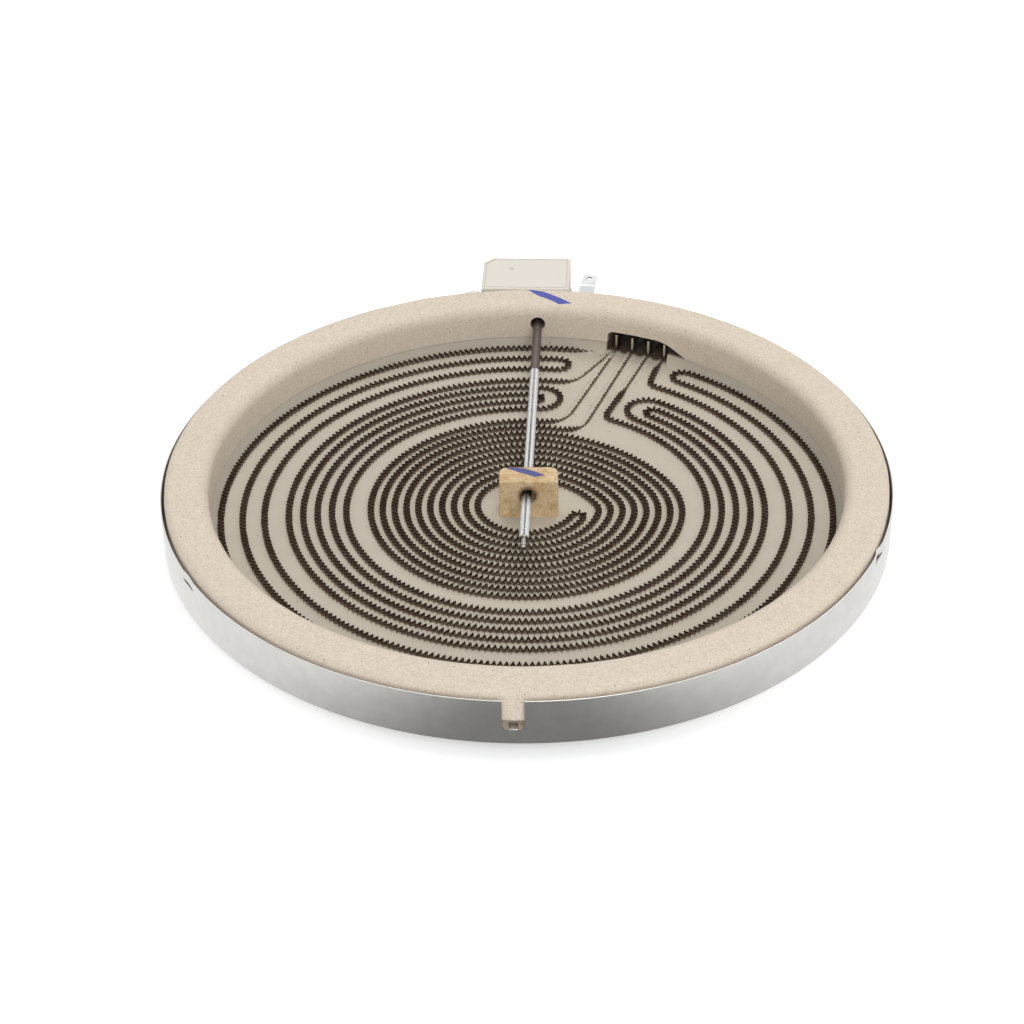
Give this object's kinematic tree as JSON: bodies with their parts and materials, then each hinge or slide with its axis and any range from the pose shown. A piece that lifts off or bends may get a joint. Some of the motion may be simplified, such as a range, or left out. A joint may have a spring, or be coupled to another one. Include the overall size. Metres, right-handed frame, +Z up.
{
  "type": "radiant heater",
  "caption": "Round radiant heater for a glass-ceramic hob: sheet tray, insulation ring, ribbon circuits and a rod limiter across the dish.",
  "frame": {"origin": "on the tray's axis, at the flat underside of its deep middle", "axes": "+Z up towards the glass; +Y to the back, where the limiter's head stands; +X to the right"},
  "size_m": [0.308, 0.3499, 0.0312],
  "materials": {
    "aluminised_steel": "pressed aluminised sheet, dull grey",
    "microporous": "pressed insulation powder, matt, pale grey",
    "vermiculite": "pressed vermiculite, matt, warm off-white, fine flakes",
    "block_fibre": "pressed support block, matt, tan, speckled",
    "ribbon_alloy": "oxidised heating strip, dark brown-grey",
    "nickel_steel": "bright nickel-plated steel strip",
    "steatite": "fired steatite, off-white, faint sheen",
    "plated_steel": "zinc-plated steel sheet",
    "rivet_steel": "plated steel rivet",
    "dark_sleeve": "oxidised metal tube, dark grey",
    "quartz": "clear quartz glass",
    "ferrule_steel": "turned steel, slightly scaled",
    "rod_alloy": "drawn alloy rod, dark",
    "spring_steel": "spring steel strip",
    "contact_silver": "plated lever with silver contact"
  },
  "bodies": {
    "heater_body": {"tray": "aluminised_steel", "base_insulation": "microporous", "insulation_ring": "vermiculite", "centre_block": "block_fibre", "outer_ribbon": "ribbon_alloy", "middle_ribbon": "ribbon_alloy", "inner_ribbon": "ribbon_alloy", "common_terminal": "nickel_steel", "inner_terminal": "nickel_steel", "middle_terminal": "nickel_steel", "outer_terminal": "nickel_steel", "terminal_block": "steatite", "block_rivets": "rivet_steel", "bracket_rivets": "rivet_steel", "limiter_bracket": "plated_steel", "compensating_sleeve": "dark_sleeve", "quartz_tube": "quartz", "rod_ferrule": "ferrule_steel", "rod_spring": "spring_steel", "limiter_housing": "steatite", "limiter_cover": "steatite", "limiter_screws": "rivet_steel", "limit_terminal": "nickel_steel", "signal_terminal": "nickel_steel", "pivot_terminal": "nickel_steel", "lever_spacers": "steatite"},
    "rod_group": {"expansion_rod": "rod_alloy", "rod_collar": "ferrule_steel"},
    "upper_lever_group": {"limit_lever": "contact_silver"},
    "lower_lever_group": {"signal_lever": "contact_silver"}
  },
  "joints": [
    {"name": "rod_slide", "type": "slide", "parent": "heater_body", "child": "rod_group", "axis": [0.0419, 0.9991, 0], "range_m": [0, 0.0008], "stiffness_N_per_m": 1000},
    {"name": "limit_lever_pivot", "type": "hinge", "parent": "heater_body", "child": "upper_lever_group", "pos_m": [-0.00014, 0.16872, 0.0214], "axis": [0, 0, 1], "range_deg": [0, 6.2]},
    {"name": "signal_lever_pivot", "type": "hinge", "parent": "heater_body", "child": "lower_lever_group", "pos_m": [-0.00014, 0.16872, 0.0214], "axis": [0, 0, 1], "range_deg": [0, 6.2]}
  ],
  "couplings": [
    {"joint": "limit_lever_pivot", "follows": "rod_slide", "rad_per_m": 133.33},
    {"joint": "signal_lever_pivot", "follows": "rod_slide", "rad_per_m": 133.33}
  ]
}
